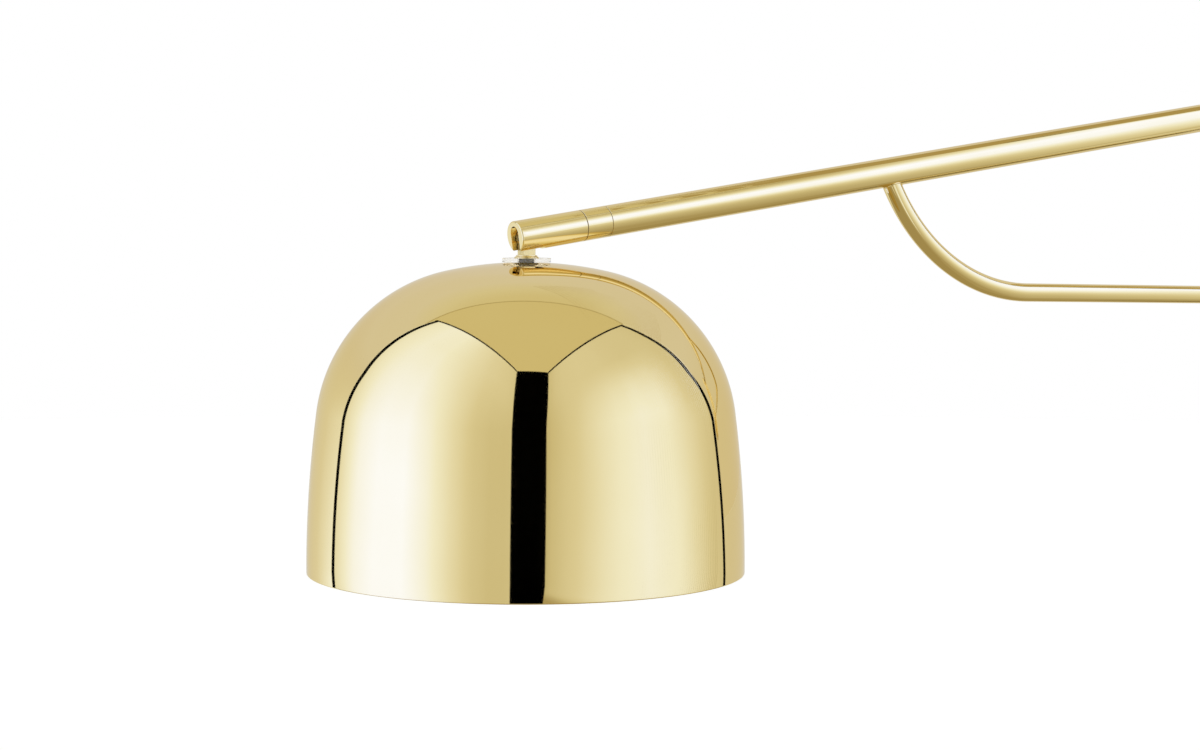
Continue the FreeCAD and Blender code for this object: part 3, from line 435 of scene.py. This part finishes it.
DRAWN_GRAIN = (18.0, (45, 1, 45))
# the fork's end face beyond the hinge: its near-white colour is painted sheen, the light that the face catches
FACED_SHEEN_END = (arm_way, arm_start.dot(arm_way) + FACE_AT, (1.0, 0.97, 0.88), 0.35)
spun = brass("spun_brass", (18.0, (1, 1, 45)))
drawn = brass("drawn_brass", DRAWN_GRAIN)
fork_sheen_finish = brass("faced_sheen_brass", DRAWN_GRAIN, FACED_SHEEN_END)
cast = surface("cast_brass", (0.83, 0.65, 0.27), (0.88, 0.71, 0.33), (0.24, 0.42), 1.0, 60.0,
               (300.0, EVEN), 3e-6, ((0.94, 0.8, 0.48), 0.3 * MM))
# a dark brown finish for the seam rings: painted shade inside the two seams' gaps
seam_shade_finish = surface("seam_shade_finish", (0.1, 0.06, 0.02), (0.22, 0.14, 0.05), (0.45, 0.7), 0.6, 200.0,
                  (600.0, EVEN), 4e-6)
finishes = {
    "polished_brass": brass("polished_brass", (120.0, EVEN)),
    "satin_brass": surface("satin_brass", (0.74, 0.58, 0.31), (0.82, 0.66, 0.38), (0.22, 0.36), 1.0, 30.0,
                           (22.0, (1, 1, 60)), 4e-6, ((0.9, 0.77, 0.5), 0.3 * MM)),
    "steel": surface("zinc_steel", (0.55, 0.555, 0.56), (0.68, 0.675, 0.65), (0.22, 0.4), 1.0, 90.0,
                     (420.0, EVEN), 4e-6, ((0.8, 0.8, 0.8), 0.25 * MM)),
    "dark_steel": surface("dark_steel", (0.035, 0.03, 0.026), (0.11, 0.1, 0.085), (0.3, 0.5), 1.0, 120.0,
                          (500.0, EVEN), 4e-6, ((0.36, 0.33, 0.29), 0.12 * MM)),
    "nylon": surface("nylon", (0.77, 0.74, 0.66), (0.85, 0.83, 0.77), (0.4, 0.56), 0.0, 70.0,
                     (700.0, EVEN), 5e-6, specks=((0.66, 0.62, 0.54), 900.0, 0.16)),
    "black_plastic": surface("black_plastic", (0.022, 0.022, 0.024), (0.045, 0.044, 0.046), (0.32, 0.5), 0.0,
                             80.0, (900.0, EVEN), 8e-6, ((0.12, 0.12, 0.12), 0.3 * MM)),
    "clear_plastic": surface("clear_plastic", (1.0, 0.97, 0.9), (1.0, 0.99, 0.94), (0.01, 0.03), 0.0, 60.0,
                             (90.0, EVEN), 4e-7, Transmission_Weight=0.85, IOR=1.06),
    "lead_sheath": surface("lead_sheath", (0.68, 0.67, 0.62), (0.78, 0.77, 0.73), (0.42, 0.6), 0.0, 50.0,
                           (400.0, EVEN), 6e-6),
    "porcelain": surface("porcelain", (0.83, 0.81, 0.75), (0.9, 0.885, 0.84), (0.08, 0.22), 0.0, 35.0,
                         (120.0, EVEN), 1.2e-5, specks=((0.45, 0.36, 0.26), 420.0, 0.09)),
    "cap_aluminium": surface("cap_aluminium", (0.68, 0.68, 0.69), (0.8, 0.8, 0.8), (0.24, 0.42), 1.0, 60.0,
                             (25.0, (1, 1, 50)), 3e-6, ((0.88, 0.88, 0.88), 0.25 * MM)),
    "frosted_glass": surface("frosted_glass", (0.9, 0.895, 0.86), (0.95, 0.94, 0.91), (0.26, 0.42), 0.0, 22.0,
                             (260.0, EVEN), 1.5e-6, Transmission_Weight=0.15),
}
special = {"knuckle": cast, "fork_end": fork_sheen_finish, "post": drawn, "wall_housing": drawn}
for row in frame["record"]["subparts"]:
    part = frame["nodes"][row["node"]]
    part.data.materials.clear()
    part.data.materials.append(special.get(row["node"]) or finishes[row["material_slot"]])

# The pieces
piece("spun_shade", spun_shade(), "shade_group", spun, ("shade",))
piece("long_tube", long_tube(), "swing_arm", drawn, ("arm_tube",))
piece("bent_brace", bent_brace(), "swing_arm", drawn, ("brace",))

# thin dark rings sunk in the two seams' gaps: painted shade of the gaps
seam_shade_ring = [(SEAM_SHADE_LOW, -SEAM_SHADE_HALF), (SEAM_SHADE_HIGH, -SEAM_SHADE_HALF), (SEAM_SHADE_HIGH, SEAM_SHADE_HALF), (SEAM_SHADE_LOW, SEAM_SHADE_HALF),
             (SEAM_SHADE_LOW, -SEAM_SHADE_HALF)]
for side, back in SEAMS.items():
    ring = turned(seam_shade_ring, head - arm_way * back, arm_way)
    piece(side + "_seam_shade", ring, "swing_arm", seam_shade_finish)

nipple_line = [(SPIGOT, NIPPLE_TOP), (SPIGOT, SPIGOT_TOP), (WIRE_BORE, SPIGOT_TOP), (WIRE_BORE, NIPPLE_STEP),
               (NIPPLE_BORE, NIPPLE_STEP), (NIPPLE_BORE, NIPPLE_LOW)]
nipple_thread = joined_thread(NIPPLE, NIPPLE_LOW, NIPPLE_TOP, nipple_line, False)
piece("threaded_nipple", nipple_thread, "shade_group", finishes["dark_steel"], ("nipple",))

cap_line = [(CAP["root"], CAP_SHOULDER), *[(radius, CAP_TIP - depth) for radius, depth in CAP_NOSE],
            (CAP_INSIDE, CAP_SHOULDER - CAP_SHEET), (CAP_INSIDE, CAP_LOW), (CAP["crest"], CAP_LOW),
            (CAP["crest"], CAP_COLLAR - COLLAR_FALL), (CAP["root"], CAP_COLLAR)]
cap_thread = joined_thread(CAP, CAP_COLLAR, CAP_SHOULDER, cap_line, True)
piece("screw_cap", cap_thread, "shade_group", finishes["cap_aluminium"], ("bulb_cap",))

bend_centre = brace_start + brace_way * BRACE_RUN + brace_lift * BRACE_BEND
met = math.radians(BRACE_MEETS)
bend_end = bend_centre + (brace_way * math.sin(met) - brace_lift * math.cos(met)) * BRACE_BEND
bend_way = brace_way * math.cos(met) + brace_lift * math.sin(met)
brace_foot, arm_foot = brace_start + brace_way * POST_AWAY, arm_start + arm_way * POST_AWAY
meetings = {"brace_to_arm": (bend_end, bend_way, BRACE_RADIUS, arm_start, arm_way, ARM_RADIUS),
            "brace_to_post": (brace_foot, -brace_way, BRACE_RADIUS, POST, UP, POST_RADIUS),
            "arm_to_post": (arm_foot, -arm_way, ARM_RADIUS, POST, UP, POST_RADIUS)}
for name, meeting in meetings.items():
    piece(name + "_bead", bead(*meeting), "swing_arm", drawn)

# The studio: its directions and heights, then the bearing and distance from the shade of each panel's near and
# far edge at those heights
TOWARD = Vector((0.8660, -0.5, 0.0))
RIGHT = Vector((0.5, 0.8660, 0.0))
FLOOR = -1.35
CEILING = 2.36
HEIGHTS = (FLOOR, 0.5, 1.5, CEILING)
LEFT_NEAR = ((-8.2, 2.2), (-7.0, 2.2), (-6.7, 2.2), (-6.4, 2.2))
LEFT_FAR = ((-121.0, 1.65), (-112.5, 1.65), (-114.9, 1.65), (-116.4, 1.66))
RIGHT_NEAR = ((8.2, 2.3), (11.2, 2.3), (13.6, 2.3), (15.8, 2.3))
RIGHT_FAR = ((134.0, 1.6), (114.0, 1.62), (112.6, 1.72), (113.6, 1.8))
WING_FAR = ((-160.0, 2.1), (-160.0, 2.1))
# the black bars in front of a panel: how near the shade they stand, where along the panel they run, and how
# high the one along the ceiling is
BARS_AT = 0.985
LEFT_BAR, RIGHT_BAR = (0.955, 0.995), (0.962, 0.997)
TOP_BAR = 0.09
# the corners of the level sheets over and under the lamp
CEILING_BACK = ((114.0, 1.80), (-115.0, 1.95))
CEILING_CORNERS = (LEFT_NEAR[-1], RIGHT_NEAR[-1], *CEILING_BACK)
EDGE_CORNERS = (*reversed(CEILING_BACK), (115.2, 1.82), (-116.2, 1.97))
UNDER_CORNERS = ((-45.0, 2.4), (45.0, 2.4), (135.0, 2.4), (-135.0, 2.4))
UNDER_LIFT = 0.05
# a panel's light: its brightest, its colours from the dimmest on, and its levels along it low down and high up,
# how far the high run takes over on the way up, and how it fades in from the floor
BRIGHTEST = 2.8
LIGHT_COLOURS = [(0.0, (0.161, 0.143, 0.096)), (0.25, (0.246, 0.243, 0.214)), (0.45, (0.286, 0.293, 0.296)),
                 (0.6, (0.321, 0.346, 0.411)), (0.75, (0.357, 0.407, 0.571)), (1.0, (0.404, 0.493, 1.0))]
FULL = [(0.0, 1.0), (1.0, 1.0)]
NONE = [(0.0, 0.0), (1.0, 0.0)]
LEFT_GLOW = ([(0.0, 0.3), (0.06, 0.27), (0.2, 0.27), (0.3, 0.36), (0.4, 0.58), (0.5, 0.82), (0.59, 0.96),
              (0.7, 0.96), (0.8, 0.87), (0.9, 0.68), (1.0, 0.5)],
             [(0.0, 0.36), (0.1, 0.42), (0.3, 0.5), (0.45, 0.63), (0.6, 0.76), (0.75, 0.78), (0.9, 0.72),
              (1.0, 0.6)],
             [(0.0, 0.0), (0.33, 0.0), (0.43, 0.3), (0.5, 0.5), (0.6, 0.8), (0.72, 1.0), (1.0, 1.0)],
             FULL)
RIGHT_GLOW = ([(0.0, 0.16), (0.04, 0.22), (0.11, 0.28), (0.2, 0.38), (0.3, 0.48), (0.4, 0.62), (0.5, 0.74),
               (0.6, 0.8), (0.7, 0.75), (0.8, 0.55), (0.9, 0.36), (1.0, 0.29)],
              [(0.0, 0.24), (0.11, 0.36), (0.2, 0.41), (0.35, 0.44), (0.5, 0.42), (0.65, 0.37), (0.8, 0.36),
               (0.92, 0.33), (1.0, 0.28)],
              [(0.0, 0.0), (0.4, 0.0), (0.46, 0.15), (0.53, 0.4), (0.6, 0.75), (0.68, 1.0), (1.0, 1.0)],
              [(0.0, 0.0), (0.12, 0.0), (0.15, 0.4), (0.18, 0.9), (0.2, 1.0), (1.0, 1.0)])
WING_GLOW = ([(0.0, 0.8), (0.12, 0.7), (0.35, 0.5), (0.7, 0.39), (1.0, 0.37)],
             [(0.0, 0.5), (0.4, 0.4), (1.0, 0.37)],
             [(0.0, 0.0), (0.45, 0.0), (0.8, 1.0), (1.0, 1.0)],
             FULL)
WING_COVER = [(0.0, 1.0), (0.7, 1.0), (0.8, 0.8), (0.9, 0.35), (1.0, 0.0)]
# the slats: the points that they stand edge-on to, their share of the way there, the dark ones' spans from left
# to right, row by row, and the bright ones' bearings, distance, heights and light
DARK_EYE = Vector((0.0895, -1.0174, -0.1205))
BRIGHT_EYE = Vector((0.0864, -1.0106, 0.0))
SLAT_DEPTH = 0.35
DARK_SPANS = [(-1.6, 0.3)] * 12 + [(-1.3, 0.1)] * 4 + [(-1.3, 1.2)] * 16
DARK_FIRST, DARK_STEP, DARK_DROP = 1.0, 0.07, 0.02
BRIGHT_ROWS = 34
BRIGHT_FIRST, BRIGHT_STEP, BRIGHT_AWAY = 59.0, 1.6, 1.0
BRIGHT_HEIGHTS = (-1.3, 1.0)
SLAT_GLOW = (FULL, FULL, NONE,
             [(0.0, 0.0), (0.283, 0.0), (0.37, 0.1), (0.435, 0.17), (0.478, 0.26), (0.522, 0.48), (0.565, 0.74),
              (0.609, 0.94), (0.696, 1.0), (0.761, 0.82), (0.826, 0.54), (0.891, 0.3), (0.957, 0.14),
              (1.0, 0.05)])
# the pale floor: its size, its middle's way from the wall, and its glow for each kind of ray
FLOOR_RADIUS = 14.0
FLOOR_MIDDLE = -0.6
FLOOR_LIFT = {"Is Camera Ray": 0.42, "Is Glossy Ray": 0.14, "Is Transmission Ray": 0.42}
# the sky's colours, from level to straight up
SKY_STOPS = [(0.5, (0.735, 0.715, 0.66)), (0.62, (0.74, 0.73, 0.72)), (0.72, (0.755, 0.765, 0.84)),
             (0.85, (0.75, 0.76, 0.83)), (0.91, (0.74, 0.74, 0.68)), (0.95, (0.71, 0.69, 0.56)),
             (1.0, (0.71, 0.68, 0.52))]
WHITE = (1.0, 1.0, 1.0, 1.0)


def studio_point(bearing, distance, height, scale=1.0):
    """A studio point by its bearing from the camera's side of the shade."""
    turn = math.radians(bearing)
    flat = shade_axis + (TOWARD * math.cos(turn) + RIGHT * math.sin(turn)) * distance * scale
    return Vector((flat.x, flat.y, height))


def edge_points(edge, scale=1.0):
    return [studio_point(*spot, height, scale) for spot, height in zip(edge, HEIGHTS)]


def in_studio(name, mesh, material):
    """Puts a mesh into the studio, apart from the lamp."""
    data = bpy.data.meshes.new(name)
    mesh.to_mesh(data)
    mesh.free()
    made = bpy.data.objects.new(name, data)
    bpy.context.scene.collection.objects.link(made)
    data.materials.append(material)
    return made


def stage_sheets(name, sheets, material):
    """Sheets between two edges of points each, for the lamp to mirror. Their UV runs along them and up."""
    mesh = bmesh.new()
    uv = mesh.loops.layers.uv.new("UVMap")
    for near, far in sheets:
        columns = [[mesh.verts.new(point) for point in edge] for edge in (near, far)]
        base, rise = near[0].z, (near[-1].z - near[0].z) or 1.0
        for step in range(len(near) - 1):
            corners = (columns[0][step], columns[1][step], columns[1][step + 1], columns[0][step + 1])
            face = mesh.faces.new(corners)
            for loop, across in zip(face.loops, (0.0, 1.0, 1.0, 0.0)):
                loop[uv].uv = (across, (loop.vert.co.z - base) / rise)
    sheet = in_studio(name, mesh, material)
    sheet.visible_camera = False
    sheet.visible_shadow = False
    sheet.visible_diffuse = False


def stage_sheet(name, near, far, material):
    stage_sheets(name, [(near, far)], material)


def level_sheet(name, corners, height, material):
    """A level sheet over or under the lamp, by bearing and distance."""
    points = [studio_point(*corner, height) for corner in corners]
    stage_sheet(name, [points[0], points[3]], [points[1], points[2]], material)


def along(near, far, share):
    """The edge that lies this share of the way from one edge of points to another."""
    return [a.lerp(b, share) for a, b in zip(near, far)]


def ramp(tree, source, stops):
    """Turns a value into a grey or a colour by a ramp of stops."""
    made = tree.nodes.new("ShaderNodeValToRGB")
    for stop in stops[1:-1]:
        made.color_ramp.elements.new(stop[0])
    for element, (at, value) in zip(made.color_ramp.elements, stops):
        element.position = at
        element.color = (*(value if isinstance(value, tuple) else (value,) * 3), 1.0)
    tree.links.new(source, made.inputs["Fac"])
    return made.outputs["Color"]


def glow(name, colour=None, ramps=None, cover=None):
    """A light sheet's material: plain, or brighter along and up the sheet by its ramps.

    A cover ramp lets the sheet fade out on its way up.
    """
    made = bpy.data.materials.new(name)
    made.use_nodes = True
    tree = made.node_tree
    tree.nodes.clear()
    out = tree.nodes.new("ShaderNodeOutputMaterial")
    light = tree.nodes.new("ShaderNodeEmission")
    tree.links.new(light.outputs[0], out.inputs["Surface"])
    if colour:
        light.inputs["Color"].default_value = (*colour, 1.0)
        return made
    place = tree.nodes.new("ShaderNodeSeparateXYZ")
    tree.links.new(tree.nodes.new("ShaderNodeUVMap").outputs[0], place.inputs[0])
    low, high, up, foot = ramps
    blend = tree.nodes.new("ShaderNodeMix")
    tree.links.new(ramp(tree, place.outputs["Y"], up), blend.inputs["Factor"])
    tree.links.new(ramp(tree, place.outputs["X"], low), blend.inputs["A"])
    tree.links.new(ramp(tree, place.outputs["X"], high), blend.inputs["B"])
    product = tree.nodes.new("ShaderNodeMath")
    product.operation = "MULTIPLY"
    tree.links.new(blend.outputs["Result"], product.inputs[0])
    tree.links.new(ramp(tree, place.outputs["Y"], foot), product.inputs[1])
    tree.links.new(ramp(tree, product.outputs[0], LIGHT_COLOURS), light.inputs["Color"])
    light.inputs["Strength"].default_value = BRIGHTEST
    if cover:
        join = tree.nodes.new("ShaderNodeMixShader")
        tree.links.new(ramp(tree, place.outputs["Y"], cover), join.inputs["Fac"])
        tree.links.new(tree.nodes.new("ShaderNodeBsdfTransparent").outputs[0], join.inputs[1])
        tree.links.new(light.outputs[0], join.inputs[2])
        tree.links.new(join.outputs[0], out.inputs["Surface"])
    return made


def panels():
    """The two lit panels with their black bars, the dark gap between them, and the left one's wing."""
    black = glow("black_card", (0.0, 0.0, 0.0))
    sides = {"left": (LEFT_NEAR, LEFT_FAR, LEFT_GLOW, LEFT_BAR),
             "right": (RIGHT_NEAR, RIGHT_FAR, RIGHT_GLOW, RIGHT_BAR)}
    for side, (near, far, ramps, bar) in sides.items():
        stage_sheet(side + "_panel", edge_points(near), edge_points(far), glow(side + "_light", ramps=ramps))
        inner = [edge_points(edge, BARS_AT) for edge in (near, far)]
        stage_sheet(side + "_far_bar", *[along(*inner, share) for share in bar], black)
        top = [[Vector((*edge[-1].xy, height)) for height in (CEILING - TOP_BAR, CEILING)] for edge in inner]
        stage_sheet(side + "_top_bar", *top, black)
    stage_sheet("dark_card", edge_points(LEFT_NEAR), edge_points(RIGHT_NEAR), black)
    wing = [edge_points(edge) for edge in (LEFT_FAR[:2], WING_FAR)]
    stage_sheet("left_wing", *wing, glow("left_wing_light", ramps=WING_GLOW, cover=WING_COVER))


def louvres():
    """Slats edge-on to what the shade mirrors, so that only the arm mirrors them: dark ones over the lamp and
    bright ones beside it.
    """
    dark = []
    for row, span in enumerate(DARK_SPANS):
        away = shade_axis.y + DARK_FIRST + DARK_STEP * row
        outer = [Vector((x, away, CEILING - DARK_DROP)) for x in span]
        dark.append(([corner.lerp(DARK_EYE, SLAT_DEPTH) for corner in outer], outer))
    stage_sheets("dark_louvre", dark, glow("louvre_grey", (0.46, 0.38, 0.21)))
    bright = []
    for row in range(BRIGHT_ROWS):
        bearing = BRIGHT_FIRST + BRIGHT_STEP * row
        outer = [studio_point(bearing, BRIGHT_AWAY, height) for height in BRIGHT_HEIGHTS]
        bright.append(([corner.lerp(BRIGHT_EYE + UP * corner.z, SLAT_DEPTH) for corner in outer], outer))
    stage_sheets("bright_louvre", bright, glow("louvre_light", ramps=SLAT_GLOW))


def floor_material():
    """A pale floor: the camera sees it as white but for the lamp's shadow."""
    made = bpy.data.materials.new("pale_floor")
    made.use_nodes = True
    tree = made.node_tree
    paint = tree.nodes["Principled BSDF"]
    paint.inputs["Base Color"].default_value = (0.8, 0.8, 0.79, 1.0)
    paint.inputs["Roughness"].default_value = 0.6
    paint.inputs["Emission Color"].default_value = WHITE
    rays = tree.nodes.new("ShaderNodeLightPath")
    total = None
    for ray, share in FLOOR_LIFT.items():
        lift = tree.nodes.new("ShaderNodeMath")
        lift.operation = "MULTIPLY_ADD"
        tree.links.new(rays.outputs[ray], lift.inputs[0])
        lift.inputs[1].default_value = share
        lift.inputs[2].default_value = 0.0
        if total:
            tree.links.new(total, lift.inputs[2])
        total = lift.outputs[0]
    tree.links.new(total, paint.inputs["Emission Strength"])
    return made


def studio_floor():
    mesh = bmesh.new()
    bmesh.ops.create_circle(mesh, cap_ends=True, segments=ROD_STEPS, radius=FLOOR_RADIUS)
    bmesh.ops.translate(mesh, vec=(0.0, FLOOR_MIDDLE, FLOOR), verts=mesh.verts)
    in_studio("studio_floor", mesh, floor_material())


def studio_world():
    """A sky that lights the lamp and shows in it, and plain white for the camera and through clear pieces."""
    world = bpy.data.worlds.new("studio")
    bpy.context.scene.world = world
    world.use_nodes = True
    tree = world.node_tree
    nodes, links = tree.nodes, tree.links
    nodes.clear()
    height = nodes.new("ShaderNodeSeparateXYZ")
    links.new(nodes.new("ShaderNodeTexCoord").outputs["Generated"], height.inputs[0])
    share = nodes.new("ShaderNodeMapRange")
    share.inputs["From Min"].default_value = -1.0
    links.new(height.outputs["Z"], share.inputs["Value"])
    lit, white = nodes.new("ShaderNodeBackground"), nodes.new("ShaderNodeBackground")
    links.new(ramp(tree, share.outputs["Result"], SKY_STOPS), lit.inputs["Color"])
    white.inputs["Color"].default_value = WHITE
    rays = nodes.new("ShaderNodeLightPath")
    straight = nodes.new("ShaderNodeMath")
    straight.operation = "MAXIMUM"
    links.new(rays.outputs["Is Camera Ray"], straight.inputs[0])
    links.new(rays.outputs["Is Transmission Ray"], straight.inputs[1])
    join, out = nodes.new("ShaderNodeMixShader"), nodes.new("ShaderNodeOutputWorld")
    links.new(straight.outputs[0], join.inputs["Fac"])
    links.new(lit.outputs[0], join.inputs[1])
    links.new(white.outputs[0], join.inputs[2])
    links.new(join.outputs[0], out.inputs["Surface"])


panels()
level_sheet("ceiling_panel", CEILING_CORNERS, CEILING, glow("ceiling_light", (0.695, 0.66, 0.49)))
level_sheet("ceiling_edge", EDGE_CORNERS, CEILING, glow("ceiling_edge_grey", (0.5, 0.45, 0.3)))
level_sheet("under_card", UNDER_CORNERS, FLOOR + UNDER_LIFT, glow("under_card_light", (0.40, 0.345, 0.21)))
louvres()
studio_floor()
studio_world()

# The camera, at the photograph's angle
LENS = 78.916
EYE = (1.220075, -1.687795, -0.017186)
BEARING, DIP, ROLL = (math.radians(angle) for angle in (58.6927, 4.0215, 0.2146))
eye = bpy.data.cameras.new("camera")
eye.lens = LENS
camera = bpy.data.objects.new("camera", eye)
bpy.context.scene.collection.objects.link(camera)
turns = ((BEARING, "Z"), (math.pi / 2 - DIP, "X"), (ROLL, "Z"))
bearing, dip, roll = (Matrix.Rotation(angle, 4, axis) for angle, axis in turns)
camera.matrix_world = Matrix.Translation(EYE) @ bearing @ dip @ roll
bpy.context.scene.camera = camera
bpy.context.scene.view_settings.view_transform = "Standard"
